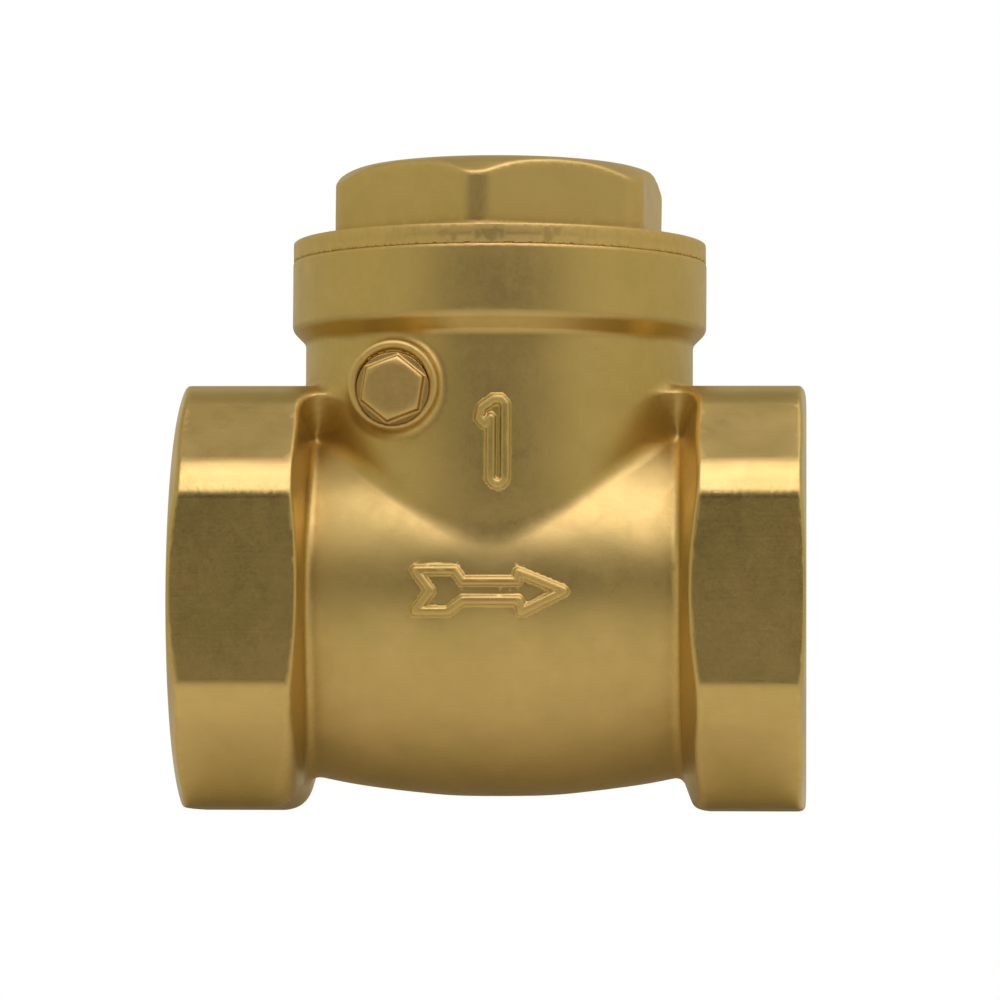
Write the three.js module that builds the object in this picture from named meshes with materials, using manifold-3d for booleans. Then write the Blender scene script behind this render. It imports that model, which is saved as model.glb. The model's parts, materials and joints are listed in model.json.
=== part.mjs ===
// Brass swing check valve, nominal size 1 inch. Millimetres, +Z up.
//
// Everything is laid out in the valve's own axes: the flow runs along +X through both ports,
// the neck stands along +Z, and the two axes cross at (0, 0, 0). The finished group is then
// moved so that its origin is the middle of the underside.
//
// The clapper has axes of its own, at the middle of the seat: its X is square to the seat and
// points downstream, and its Z runs up the seat towards the hinge pin.

import * as THREE from 'three';
import { mergeVertices } from 'three/addons/utils/BufferGeometryUtils.js';
import Module from 'manifold-3d';

const wasm = await Module();
wasm.setup();

// ---------------------------------------------------------------- driving dimensions

const FACE_TO_FACE = 62.0;
const INLET_X = -31.3; // inlet face, measured from the neck axis
const OUTLET_X = INLET_X + FACE_TO_FACE;
const OVERALL_HEIGHT = 63.9;

// Octagonal ends: four wide flats, four diagonal flats and a narrow bevel at each edge
const END_HALF_WIDTH = 20.8;
const MAIN_FLAT_HALF = 9.4;
const BEVEL_OUTER = 19.68;
const BEVEL_INNER = 12.1;
const END_CORNER_R = 23.4;
const END_FACE_R = 20.65;
const END_CHAMFER = 0.75;

// Inner shoulders of the two ends, where they fall to the barrel
const INLET_SHOULDER = { topX: -19.1, topR: 23.0, footX: -17.8, footR: 17.9 };
const OUTLET_SHOULDER = { topX: 20.2, topR: 23.0, footX: 18.3, footR: 17.9 };

// Forged outside
const BARREL_R = 19.5;
const BARREL_DEEPER = 1.023; // the barrel is a little deeper than it is high
const BARREL_CROWN_R = 85;
const BARREL_HALF_LENGTH = 20;
const NECK_R = 19.16;
const NECK_ROOT = { z: 13, topR: 20.4 }; // from here up the forging swells towards the ends
const COLLAR_R = 20.7;
const COLLAR_FOOT_Z = 25.35; // the collar leaves the neck here in a cone
const COLLAR_TOP_Z = 33.7;
const EDGE_BREAK = 0.3;

// Raised marks: a flow arrow on both sides and the size figure on the front, drawn by their
// centre lines in [x, z]
const MARK_HEIGHT = 0.45;
const MARK_LINE = 0.9;
const ARROW_TAIL = { backX: -7.1, notchX: -5.6, frontX: -3.6, half: 2.0 };
const ARROW_SHAFT = { backX: -2.5, half: 0.93 };
const ARROW_HEAD = { backX: 3.0, tipX: 7.3, half: 1.95 };
const FIGURE_STEM = { leftX: 0.12, rightX: 1.55, footZ: 10.4, topZ: 18.65, corner: 0.45 };
const FIGURE_FLAG = { leftX: -0.95, topZ: 17.8, tipX: -0.6, tipZ: 16.2 };

// Flow passage
const THREAD_MINOR_R = 15.15; // 1-11 parallel pipe thread
const MOUTH_R = 16.95; // the chamfer that leads into each thread, at the face
const INLET_THREAD_END_X = -18.2;
const SEAT_BORE_R = 11;
const CHAMBER_R = 15.75;
const OUTLET_THREAD_END_X = 17.8;

// Seat
const SEAT_TILT = THREE.MathUtils.degToRad(8);
const SEAT_X = -12.05; // where the seat plane crosses the flow axis
const SEAT_LAND_R = 13.6;
const SEAT_STEP = 1.0;

// Hinge pin and its plug
const PIN_X = -9.4;
const PIN_Z = 19.65;
const PIN_R = 1.75;
const PIN_HOLE_R = 1.95;
const PIN_FRONT_Y = -13.7;
const PIN_BACK_Y = 14.5;
const PIN_END_GAP = 0.3;
const BOSS_R = 4.4;
const BOSS_Z = PIN_Z + 0.4; // the cast boss stands a little above the hole drilled in it
const BOSS_FACE_Y = -19.1;
const BOSS_ROOT_Y = -10; // inside the neck wall
const BOSS_RECESS_R = 3.75;
const BOSS_RECESS_Y = -18.0;
const PLUG_HOLE_R = 2.55;
const PLUG_SHANK_R = 2.25;
const PLUG_FLATS = 5.6;
const PLUG_HEAD_Y = -20.5;
const PLUG_SEAT_Y = -18.9; // the underside of the head, on its washer
const PLUG_CORNER_R = 3.25;
const PLUG_FLANGE_R = 3.5;
const PLUG_FLANGE_Y = -19.3;
const PLUG_FACE_R = 2.6;
const PLUG_CHAMFER = 0.35;
const PLUG_WASHER_R = 3.4;
const PLUG_WASHER = { from: -18.75, to: -18.15 };
const PLUG_CORNER_ANGLE = THREE.MathUtils.degToRad(21);

// Bonnet
const BONNET_R = 20.6;
const BONNET_FLANGE_Z = 34.0;
const BONNET_HEX_Z = 35.7;
const BONNET_FLATS = 30.9;
const BONNET_CORNER_R = 17.3;
const BONNET_TURN = THREE.MathUtils.degToRad(-5.5);
const BONNET_TOP_Z = OVERALL_HEIGHT - END_HALF_WIDTH;
const BONNET_CONE_Z = 41.1; // the top is turned to a cone down to here
const BONNET_CONE_TOP = { r: 15.4, z: 42.8 };
const BONNET_FACE_R = 14.7;
const BONNET_SKIRT_R = 17.4;
const BONNET_SKIRT_Z = 27.6;
const BONNET_LEAD = 0.8;
const HOLLOW_SKIRT = { r: 14.3, z: 34.9 };
const HOLLOW_CAP = { r: 11.8, z: 37, edgeZ: 38.5 };
const HOLLOW_TOP = { r: 10.6, z: 39.3 };
const COLLAR_BORE_R = 17.7;
const COLLAR_BORE_Z = 26.9;
const GASKET_SEAT_R = 19.65;
const GASKET_SEAT_Z = 32.7;
const GASKET = { innerR: 18.2, outerR: 19.35, from: 33.0, to: 33.7 };

// Clapper, stacked along its own X from the seat plane
const SEAT_DISC_R = 12.2;
const SEAT_DISC_FROM = 0.25;
const SEAT_DISC_TO = 3.2;
const HOLDER_R = 12.9;
const HOLDER_LIP = 1.2;
const HOLDER_POCKET = 3.45;
const HOLDER_BACK = 5.5;
const HOLDER_BEVEL = { from: 3.4, innerFrom: 4.3, innerR: 12, domeFrom: 5.2, domeR: 8.5, faceR: 7.5 };
const STEM_R = 2.4;
const STEM_HOLE_R = 2.65;
const STEM_FRONT = -4.6;
const STEM_BACK = 12.8;
const EYE_FROM = 5.75;
const EYE_TO = 8.7;
const EYE_R = 6.2;
const HUB_R = 3.2;
const HUB_HALF_LENGTH = 7;
const ARM = { eyeHalf: 4.2, waistHalf: 4.8, waistUp: 9, hubHalf: 6.4 };
const SEAT_WASHER = { r: 8.5, height: 0.9 };
const HANGER_WASHER = { r: 4.9, height: 0.7 };
const NUT_FLATS = 8;
const NUT_HEIGHT = 2.6;
const NUT_CHAMFER = 0.4;
const STACK_GAP = 0.2;

// Facets
const LARGE_ROUND = 48;
const SMALL_ROUND = 20;
const BARREL_STEPS = 6; // straight pieces on each half of the barrel's crown
const OVERCUT = 1; // how far a cutting solid runs past the surface it cuts

// The pin seen from the clapper's own axes
const PIN_DX = PIN_X - SEAT_X;
const PIN_OUT = PIN_DX * Math.cos(SEAT_TILT) + PIN_Z * Math.sin(SEAT_TILT);
const PIN_UP = PIN_Z * Math.cos(SEAT_TILT) - PIN_DX * Math.sin(SEAT_TILT);

// ---------------------------------------------------------------- materials

function finish(color, roughness, metalness) {
  return new THREE.MeshStandardMaterial({ color, roughness, metalness, flatShading: true });
}

const forgedBrass = finish(0xb08f4e, 0.42, 0.95);
const turnedBrass = finish(0xc0a057, 0.3, 1);
const stainless = finish(0xa8aaa9, 0.32, 1);
const copper = finish(0xb06a45, 0.35, 1);
const rubber = finish(0x1d1d1f, 0.75, 0);
const ptfe = finish(0xe9e7e1, 0.5, 0);

// ---------------------------------------------------------------- solids

function solidOf(geometry) {
  geometry.deleteAttribute('normal');
  geometry.deleteAttribute('uv');
  const merged = mergeVertices(geometry);
  const corners = merged.index.array;
  const triangles = [];
  for (let i = 0; i < corners.length; i += 3) {
    const [a, b, c] = [corners[i], corners[i + 1], corners[i + 2]];
    if (a !== b && b !== c && c !== a) triangles.push(a, b, c);
  }
  return new wasm.Manifold(new wasm.Mesh({
    numProp: 3,
    vertProperties: merged.attributes.position.array,
    triVerts: new Uint32Array(triangles),
  }));
}

function pieceOf(name, solid, material) {
  const { vertProperties, triVerts } = solid.getMesh();
  const geometry = new THREE.BufferGeometry();
  geometry.setAttribute('position', new THREE.BufferAttribute(vertProperties, 3));
  geometry.setIndex(new THREE.BufferAttribute(triVerts, 1));
  const mesh = new THREE.Mesh(geometry, material);
  mesh.name = name;
  return mesh;
}

// Revolves a profile of [distance along the axis, radius]
function turned(axis, profile, segments = LARGE_ROUND) {
  const points = profile.map(([along, radius]) => new THREE.Vector2(radius, along));
  const geometry = new THREE.LatheGeometry(points, segments);
  if (axis === 'x') geometry.rotateZ(-Math.PI / 2);
  if (axis === 'z') geometry.rotateX(Math.PI / 2);
  return solidOf(geometry);
}

function cylinder(axis, radius, from, to, segments) {
  return turned(axis, [[from, 0], [from, radius], [to, radius], [to, 0]], segments);
}

function chamferedRod(axis, radius, from, to) {
  const endR = radius - EDGE_BREAK;
  return turned(axis, [
    [from, 0], [from, endR], [from + EDGE_BREAK, radius],
    [to - EDGE_BREAK, radius], [to, endR], [to, 0],
  ], SMALL_ROUND);
}

function ring(axis, innerR, outerR, from, to, segments = LARGE_ROUND) {
  return turned(axis, [
    [from, innerR], [from, outerR], [to, outerR], [to, innerR], [from, innerR],
  ], segments);
}

// Extrudes an outline along an axis. Its points are [y, z] along x, [x, z] along y and
// [x, y] along z.
function plate(axis, outline, from, to, hole = null) {
  const path = (points) => points.map(([across, up]) => new THREE.Vector2(across, up));
  const shape = new THREE.Shape(path(outline));
  if (hole) shape.holes.push(new THREE.Path(path(hole)));
  const geometry = new THREE.ExtrudeGeometry(shape, { depth: to - from, bevelEnabled: false });
  geometry.translate(0, 0, axis === 'y' ? -to : from);
  if (axis !== 'z') geometry.rotateX(Math.PI / 2);
  if (axis === 'x') geometry.rotateZ(Math.PI / 2);
  return solidOf(geometry);
}

function hexagon(flats, firstCorner) {
  const cornerR = flats / Math.sqrt(3);
  const corners = [];
  for (let i = 0; i < 6; i += 1) {
    const angle = firstCorner + (i * Math.PI) / 3;
    corners.push([cornerR * Math.cos(angle), cornerR * Math.sin(angle)]);
  }
  return corners;
}

// Moves every side of an anticlockwise outline outwards
function widened(outline, distance) {
  return outline.map(([x, z], i) => {
    const [beforeX, beforeZ] = outline.at(i - 1);
    const [afterX, afterZ] = outline[(i + 1) % outline.length];
    const before = new THREE.Vector2(z - beforeZ, beforeX - x).normalize();
    const after = new THREE.Vector2(afterZ - z, x - afterX).normalize();
    const corner = before.clone().add(after);
    const reach = (2 * distance) / corner.lengthSq();
    return [x + corner.x * reach, z + corner.y * reach];
  });
}

// The raised line along an outline, cut off at the height of the skin around it
function raisedMark(outline, side, skin) {
  const reach = BARREL_R + OVERCUT;
  const [from, to] = side > 0 ? [0, reach] : [-reach, 0];
  const band = plate('y', widened(outline, MARK_LINE / 2), from, to, widened(outline, -MARK_LINE / 2));
  return band.intersect(skin);
}

// ---------------------------------------------------------------- body, outside

function octagonOutline() {
  const quarter = [
    [END_HALF_WIDTH, -MAIN_FLAT_HALF], [END_HALF_WIDTH, MAIN_FLAT_HALF],
    [BEVEL_OUTER, BEVEL_INNER], [BEVEL_INNER, BEVEL_OUTER],
  ];
  const outline = [];
  for (let turn = 0; turn < 4; turn += 1) {
    const cos = Math.round(Math.cos((turn * Math.PI) / 2));
    const sin = Math.round(Math.sin((turn * Math.PI) / 2));
    quarter.forEach(([a, b]) => outline.push([a * cos - b * sin, a * sin + b * cos]));
  }
  return outline;
}

// One octagonal end: the extruded octagon turned to a chamfer at its face and to a sloping
// shoulder where it meets the barrel
function portEnd(faceX, shoulder) {
  const inward = Math.sign(-faceX);
  const slope = (shoulder.topX - shoulder.footX) / (shoulder.topR - shoulder.footR);
  const cornerX = shoulder.topX + slope * (END_CORNER_R - shoulder.topR);
  const profile = [
    [faceX, 0], [faceX, END_FACE_R], [faceX + inward * END_CHAMFER, END_CORNER_R],
    [cornerX, END_CORNER_R], [shoulder.footX, shoulder.footR], [shoulder.footX, 0],
  ];
  const ordered = inward > 0 ? profile : profile.reverse();
  const near = Math.min(faceX, shoulder.footX) - OVERCUT;
  const far = Math.max(faceX, shoulder.footX) + OVERCUT;
  return plate('x', octagonOutline(), near, far).intersect(turned('x', ordered));
}

function barrel(extra = 0) {
  const profile = [[-BARREL_HALF_LENGTH, 0]];
  for (let i = -BARREL_STEPS; i <= BARREL_STEPS; i += 1) {
    const x = (i / BARREL_STEPS) * BARREL_HALF_LENGTH;
    profile.push([x, BARREL_R + extra - (x * x) / (2 * BARREL_CROWN_R)]);
  }
  profile.push([BARREL_HALF_LENGTH, 0]);
  return turned('x', profile).scale([1, BARREL_DEEPER, 1]);
}

function neckAndCollar() {
  return turned('z', [
    [0, 0], [0, NECK_R], [COLLAR_FOOT_Z, NECK_R], [COLLAR_FOOT_Z + COLLAR_R - NECK_R, COLLAR_R],
    [COLLAR_TOP_Z - EDGE_BREAK, COLLAR_R], [COLLAR_TOP_Z, COLLAR_R - EDGE_BREAK], [COLLAR_TOP_Z, 0],
  ]);
}

// The swelling at the root of the neck, milled off with the flats of the ends
function neckRoot() {
  const { z, topR } = NECK_ROOT;
  const swelling = turned('z', [[z, 0], [z, NECK_R], [END_HALF_WIDTH, topR], [END_HALF_WIDTH, 0]]);
  return plate('x', octagonOutline(), -topR, topR).intersect(swelling);
}

function arrowOutline() {
  const { backX, notchX, frontX, half } = ARROW_TAIL;
  const below = [
    [notchX, 0], [backX, -half], [frontX, -half], [ARROW_SHAFT.backX, -ARROW_SHAFT.half],
    [ARROW_HEAD.backX, -ARROW_SHAFT.half], [ARROW_HEAD.backX, -ARROW_HEAD.half], [ARROW_HEAD.tipX, 0],
  ];
  const above = below.slice(1, -1).reverse().map(([x, z]) => [x, -z]);
  return [...below, ...above];
}

function figureOutline() {
  const { leftX, rightX, footZ, topZ, corner } = FIGURE_STEM;
  const flag = FIGURE_FLAG;
  return [
    [leftX + corner, footZ], [rightX - corner, footZ], [rightX, footZ + corner],
    [rightX, topZ - corner], [rightX - corner, topZ], [leftX, topZ],
    [flag.leftX, flag.topZ], [flag.tipX, flag.tipZ], [leftX, flag.tipZ + corner],
    [leftX, footZ + corner],
  ];
}

// ---------------------------------------------------------------- body, hollows

function portBore(faceX, endX) {
  const inward = Math.sign(endX - faceX);
  const outsideX = faceX - inward * OVERCUT;
  const threadX = faceX + inward * (MOUTH_R - THREAD_MINOR_R);
  const profile = [
    [outsideX, 0], [outsideX, MOUTH_R], [faceX, MOUTH_R],
    [threadX, THREAD_MINOR_R], [endX, THREAD_MINOR_R], [endX, 0],
  ];
  return turned('x', inward > 0 ? profile : profile.reverse());
}

// Turns a solid from the clapper's axes into the valve's
function fromSeatAxes(solid) {
  const place = new THREE.Matrix4().makeRotationY(-SEAT_TILT).setPosition(SEAT_X, 0, 0);
  return solid.transform(place.elements);
}

// The chamber and the neck bore, both cut off at the sloping seat wall
function chamber() {
  const reach = FACE_TO_FACE;
  const square = [[-reach, -reach], [reach, -reach], [reach, reach], [-reach, reach]];
  const downstream = fromSeatAxes(plate('x', square, -SEAT_STEP, reach));
  const chamberBore = cylinder('x', CHAMBER_R, INLET_THREAD_END_X, OUTLET_THREAD_END_X + EDGE_BREAK);
  const neckBore = cylinder('z', CHAMBER_R, 0, COLLAR_BORE_Z + OVERCUT);
  const land = fromSeatAxes(cylinder('x', SEAT_LAND_R, -2 * SEAT_STEP, 0));
  return chamberBore.add(neckBore).intersect(downstream).subtract(land);
}

function collarBore() {
  const openZ = COLLAR_TOP_Z + OVERCUT;
  return turned('z', [
    [COLLAR_BORE_Z, 0], [COLLAR_BORE_Z, COLLAR_BORE_R],
    [GASKET_SEAT_Z, COLLAR_BORE_R], [GASKET_SEAT_Z, GASKET_SEAT_R],
    [openZ, GASKET_SEAT_R], [openZ, 0],
  ]);
}

function pinHoles() {
  const openY = BOSS_FACE_Y - OVERCUT;
  const stepY = PIN_FRONT_Y + PIN_END_GAP;
  const endY = PIN_BACK_Y + PIN_END_GAP;
  return turned('y', [
    [openY, 0], [openY, BOSS_RECESS_R], [BOSS_RECESS_Y, BOSS_RECESS_R], [BOSS_RECESS_Y, PLUG_HOLE_R],
    [stepY, PLUG_HOLE_R], [stepY, PIN_HOLE_R], [endY, PIN_HOLE_R], [endY, 0],
  ], SMALL_ROUND).translate([PIN_X, 0, PIN_Z]);
}

function body() {
  const boss = cylinder('y', BOSS_R, BOSS_FACE_Y, BOSS_ROOT_Y, SMALL_ROUND).translate([PIN_X, 0, BOSS_Z]);
  const barrelSkin = barrel(MARK_HEIGHT);
  const neckSkin = cylinder('z', NECK_R + MARK_HEIGHT, 0, COLLAR_FOOT_Z);
  return portEnd(INLET_X, INLET_SHOULDER)
    .add(portEnd(OUTLET_X, OUTLET_SHOULDER))
    .add(barrel())
    .add(neckAndCollar())
    .add(neckRoot())
    .add(boss)
    .add(raisedMark(arrowOutline(), -1, barrelSkin))
    .add(raisedMark(arrowOutline(), 1, barrelSkin))
    .add(raisedMark(figureOutline(), -1, neckSkin))
    .subtract(portBore(INLET_X, INLET_THREAD_END_X))
    .subtract(cylinder('x', SEAT_BORE_R, INLET_THREAD_END_X - OVERCUT, 0))
    .subtract(portBore(OUTLET_X, OUTLET_THREAD_END_X))
    .subtract(chamber())
    .subtract(collarBore())
    .subtract(pinHoles());
}

// ---------------------------------------------------------------- bonnet and its gasket

function bonnet() {
  const rimR = BONNET_R - EDGE_BREAK;
  const leadR = BONNET_SKIRT_R - BONNET_LEAD;
  const outside = turned('z', [
    [BONNET_SKIRT_Z, 0], [BONNET_SKIRT_Z, leadR], [BONNET_SKIRT_Z + BONNET_LEAD, BONNET_SKIRT_R],
    [BONNET_FLANGE_Z, BONNET_SKIRT_R], [BONNET_FLANGE_Z, BONNET_R],
    [BONNET_HEX_Z - EDGE_BREAK, BONNET_R], [BONNET_HEX_Z, rimR], [BONNET_HEX_Z, 0],
  ]);
  const rootZ = BONNET_HEX_Z - OVERCUT;
  const firstCorner = BONNET_TURN - Math.PI / 2;
  const hex = plate('z', hexagon(BONNET_FLATS, firstCorner), rootZ, BONNET_TOP_Z);
  const cap = turned('z', [
    [rootZ, 0], [rootZ, BONNET_CORNER_R], [BONNET_CONE_Z, BONNET_CORNER_R],
    [BONNET_CONE_TOP.z, BONNET_CONE_TOP.r], [BONNET_TOP_Z, BONNET_FACE_R], [BONNET_TOP_Z, 0],
  ]);
  const openZ = BONNET_SKIRT_Z - OVERCUT;
  const hollow = turned('z', [
    [openZ, 0], [openZ, HOLLOW_SKIRT.r], [HOLLOW_SKIRT.z, HOLLOW_SKIRT.r],
    [HOLLOW_CAP.z, HOLLOW_CAP.r], [HOLLOW_CAP.edgeZ, HOLLOW_CAP.r],
    [HOLLOW_TOP.z, HOLLOW_TOP.r], [HOLLOW_TOP.z, 0],
  ]);
  return outside.add(hex.intersect(cap)).subtract(hollow);
}

// ---------------------------------------------------------------- hinge pin plug, in its own axes

function hingePinPlug() {
  const head = plate('y', hexagon(PLUG_FLATS, PLUG_CORNER_ANGLE), PLUG_HEAD_Y, PLUG_SEAT_Y);
  const cap = turned('y', [
    [PLUG_HEAD_Y, 0], [PLUG_HEAD_Y, PLUG_FACE_R], [PLUG_HEAD_Y + PLUG_CHAMFER, PLUG_CORNER_R],
    [BOSS_RECESS_Y, PLUG_CORNER_R], [BOSS_RECESS_Y, 0],
  ], SMALL_ROUND);
  const flange = cylinder('y', PLUG_FLANGE_R, PLUG_FLANGE_Y, PLUG_SEAT_Y, SMALL_ROUND);
  const shank = chamferedRod('y', PLUG_SHANK_R, PLUG_SEAT_Y - EDGE_BREAK, PIN_FRONT_Y - PIN_END_GAP);
  return head.intersect(cap).add(flange).add(shank);
}

// ---------------------------------------------------------------- clapper, in its own axes

function hanger() {
  const hub = cylinder('y', HUB_R, -HUB_HALF_LENGTH, HUB_HALF_LENGTH, SMALL_ROUND);
  const openY = HUB_HALF_LENGTH + OVERCUT;
  const pinHole = cylinder('y', PIN_HOLE_R, -openY, openY, SMALL_ROUND);
  const { eyeHalf, waistHalf, waistUp, hubHalf } = ARM;
  const arm = plate('x', [
    [-eyeHalf, 0], [eyeHalf, 0], [waistHalf, waistUp], [hubHalf, PIN_UP],
    [-hubHalf, PIN_UP], [-waistHalf, waistUp],
  ], EYE_FROM, EYE_TO);
  const eye = cylinder('x', EYE_R, EYE_FROM, EYE_TO, 2 * SMALL_ROUND);
  const stemHole = cylinder('x', STEM_HOLE_R, EYE_FROM - OVERCUT, EYE_TO + OVERCUT, SMALL_ROUND);
  const atPin = [PIN_OUT, 0, PIN_UP];
  return arm.add(eye).add(hub.translate(atPin)).subtract(pinHole.translate(atPin)).subtract(stemHole);
}

function discHolder() {
  const { from, innerFrom, innerR, domeFrom, domeR, faceR } = HOLDER_BEVEL;
  const cup = turned('x', [
    [HOLDER_LIP, 0], [HOLDER_LIP, HOLDER_R], [from, HOLDER_R], [innerFrom, innerR],
    [domeFrom, domeR], [HOLDER_BACK, faceR], [HOLDER_BACK, 0],
  ]);
  const pocket = cylinder('x', SEAT_DISC_R + EDGE_BREAK, 0, HOLDER_POCKET);
  const stem = chamferedRod('x', STEM_R, STEM_FRONT, STEM_BACK);
  return cup.subtract(pocket).add(stem);
}

function hexNut(from) {
  const to = from + NUT_HEIGHT;
  const cornerR = NUT_FLATS / Math.sqrt(3);
  const faceR = cornerR - 2 * NUT_CHAMFER;
  const cap = turned('x', [
    [from, 0], [from, faceR], [from + NUT_CHAMFER, cornerR],
    [to - NUT_CHAMFER, cornerR], [to, faceR], [to, 0],
  ], SMALL_ROUND);
  const hole = cylinder('x', STEM_HOLE_R, from - OVERCUT, to + OVERCUT, SMALL_ROUND);
  return plate('x', hexagon(NUT_FLATS, 0), from, to).intersect(cap).subtract(hole);
}

// ---------------------------------------------------------------- assembly

function clapper() {
  const frontTo = SEAT_DISC_FROM - STACK_GAP;
  const frontFrom = frontTo - SEAT_WASHER.height;
  const backFrom = EYE_TO + STACK_GAP;
  const backTo = backFrom + HANGER_WASHER.height;
  const seatDisc = ring('x', STEM_HOLE_R, SEAT_DISC_R, SEAT_DISC_FROM, SEAT_DISC_TO);
  const seatWasher = ring('x', STEM_HOLE_R, SEAT_WASHER.r, frontFrom, frontTo, 2 * SMALL_ROUND);
  const hangerWasher = ring('x', STEM_HOLE_R, HANGER_WASHER.r, backFrom, backTo, SMALL_ROUND);
  const group = new THREE.Group();
  group.add(
    pieceOf('disc_hanger', hanger(), forgedBrass),
    pieceOf('disc_holder', discHolder(), turnedBrass),
    pieceOf('seat_disc', seatDisc, rubber),
    pieceOf('seat_disc_washer', seatWasher, stainless),
    pieceOf('seat_disc_nut', hexNut(frontFrom - STACK_GAP - NUT_HEIGHT), stainless),
    pieceOf('hanger_washer', hangerWasher, stainless),
    pieceOf('hanger_nut', hexNut(backTo + STACK_GAP), stainless),
  );
  group.rotation.y = -SEAT_TILT;
  group.position.x = SEAT_X;
  return group;
}

function hingePinGroup() {
  const washer = ring('y', PLUG_HOLE_R, PLUG_WASHER_R, PLUG_WASHER.from, PLUG_WASHER.to, SMALL_ROUND);
  const group = new THREE.Group();
  group.add(
    pieceOf('hinge_pin', chamferedRod('y', PIN_R, PIN_FRONT_Y, PIN_BACK_Y), stainless),
    pieceOf('hinge_pin_plug', hingePinPlug(), turnedBrass),
    pieceOf('plug_washer', washer, copper),
  );
  group.position.set(PIN_X, 0, PIN_Z);
  return group;
}

const gasket = ring('z', GASKET.innerR, GASKET.outerR, GASKET.from, GASKET.to);

const valve = new THREE.Group();
valve.add(
  pieceOf('body', body(), forgedBrass),
  pieceOf('bonnet', bonnet(), forgedBrass),
  pieceOf('bonnet_gasket', gasket, ptfe),
  hingePinGroup(),
  clapper(),
);
valve.position.set(-(INLET_X + OUTLET_X) / 2, 0, END_HALF_WIDTH);

export default valve;
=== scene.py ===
import json
import math
from itertools import product

import bpy
import numpy as np
from mathutils import Matrix, Vector


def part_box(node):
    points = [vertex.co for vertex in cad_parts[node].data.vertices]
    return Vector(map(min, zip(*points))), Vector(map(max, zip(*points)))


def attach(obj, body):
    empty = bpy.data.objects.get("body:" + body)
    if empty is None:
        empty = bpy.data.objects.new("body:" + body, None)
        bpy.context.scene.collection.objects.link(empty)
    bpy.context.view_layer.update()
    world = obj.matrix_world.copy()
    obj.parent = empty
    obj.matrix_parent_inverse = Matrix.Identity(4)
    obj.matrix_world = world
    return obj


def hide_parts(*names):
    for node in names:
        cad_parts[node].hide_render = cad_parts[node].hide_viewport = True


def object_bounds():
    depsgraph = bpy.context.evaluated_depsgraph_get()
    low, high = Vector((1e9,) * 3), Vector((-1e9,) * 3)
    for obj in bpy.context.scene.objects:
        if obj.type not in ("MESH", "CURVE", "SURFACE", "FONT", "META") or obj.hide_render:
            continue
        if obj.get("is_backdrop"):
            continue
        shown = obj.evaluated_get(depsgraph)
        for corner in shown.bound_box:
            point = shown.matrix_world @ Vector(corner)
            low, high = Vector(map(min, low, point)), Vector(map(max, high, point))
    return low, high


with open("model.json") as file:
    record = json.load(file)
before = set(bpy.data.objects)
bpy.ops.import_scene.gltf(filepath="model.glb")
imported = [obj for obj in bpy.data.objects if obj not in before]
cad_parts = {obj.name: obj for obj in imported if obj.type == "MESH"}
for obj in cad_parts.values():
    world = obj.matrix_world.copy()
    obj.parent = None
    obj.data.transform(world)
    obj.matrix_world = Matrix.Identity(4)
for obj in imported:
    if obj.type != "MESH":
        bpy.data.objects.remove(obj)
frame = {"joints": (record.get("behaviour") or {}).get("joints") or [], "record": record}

CAD_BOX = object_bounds()
MM = 0.001

# ------------------------------------------------------------------ places, from the frame
#
# Shapes are written in millimetres in the valve's own axes: the flow runs along +X, the neck
# stands on +Z, and the two axes cross at zero. The clapper has axes of its own at the middle
# of the seat: X is square to the seat and points downstream, Z runs up to the hinge pin.

SLOTS = {part["node"]: part["material_slot"] for part in frame["record"]["subparts"]}
BODIES = {node: body for body, nodes in frame["record"]["behaviour"]["bodies"].items() for node in nodes}
JOINTS = {joint["name"]: joint for joint in frame["joints"]}

END_HALF = (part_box("body")[1] / MM).y
ORIGIN = Vector((JOINTS["bonnet_turn"]["pos_m"][0] / MM, 0, END_HALF))
PIN = Vector(JOINTS["clapper_swing"]["pos_m"]) / MM - ORIGIN
SEAT = Vector(JOINTS["disc_spin"]["pos_m"]) / MM - ORIGIN
SEAT_OUT = Vector(JOINTS["disc_spin"]["axis"]).normalized()
SEAT_UP = SEAT_OUT.cross(Vector((0, 1, 0)))
PIN_OUT = (PIN - SEAT).dot(SEAT_OUT)
PIN_UP = (PIN - SEAT).dot(SEAT_UP)

VALVE_AXES = Matrix.Translation(ORIGIN)
CLAPPER_AXES = Matrix.Translation(ORIGIN + SEAT) @ Matrix((
    (SEAT_OUT.x, 0, SEAT_UP.x, 0),
    (SEAT_OUT.y, 1, SEAT_UP.y, 0),
    (SEAT_OUT.z, 0, SEAT_UP.z, 0),
    (0, 0, 0, 1),
))


def box_in(node, axes):
    """A node's lowest and highest corners in those axes, in millimetres."""
    inward = axes.inverted()
    corners = [inward @ (Vector(corner) / MM) for corner in product(*zip(*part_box(node)))]
    return np.min(corners, 0), np.max(corners, 0)


(INLET_X, _, _), (OUTLET_X, _, _) = box_in("body", VALVE_AXES)
(_, _, BONNET_FOOT), (_, _, BONNET_TOP) = box_in("bonnet", VALVE_AXES)
(_, _, GASKET_LOW), (_, _, GASKET_HIGH) = box_in("bonnet_gasket", VALVE_AXES)
(_, PLUG_FACE, _), (_, PLUG_END, _) = box_in("hinge_pin_plug", VALVE_AXES)
(_, PIN_FRONT, _), (_, PIN_BACK, _) = box_in("hinge_pin", VALVE_AXES)
(_, WASHER_LOW, _), (_, WASHER_HIGH, _) = box_in("plug_washer", VALVE_AXES)

# ------------------------------------------------------------------ sizes, millimetres
#
# The two shoulders and CAP_CONE run through two points of (radius, place). COLLAR_CHAMFER,
# BONNET_HOLLOW (by -z) and CUP are points of (place, radius). NECK_FILLET and ARM_HALF are
# places and the values there.

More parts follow.
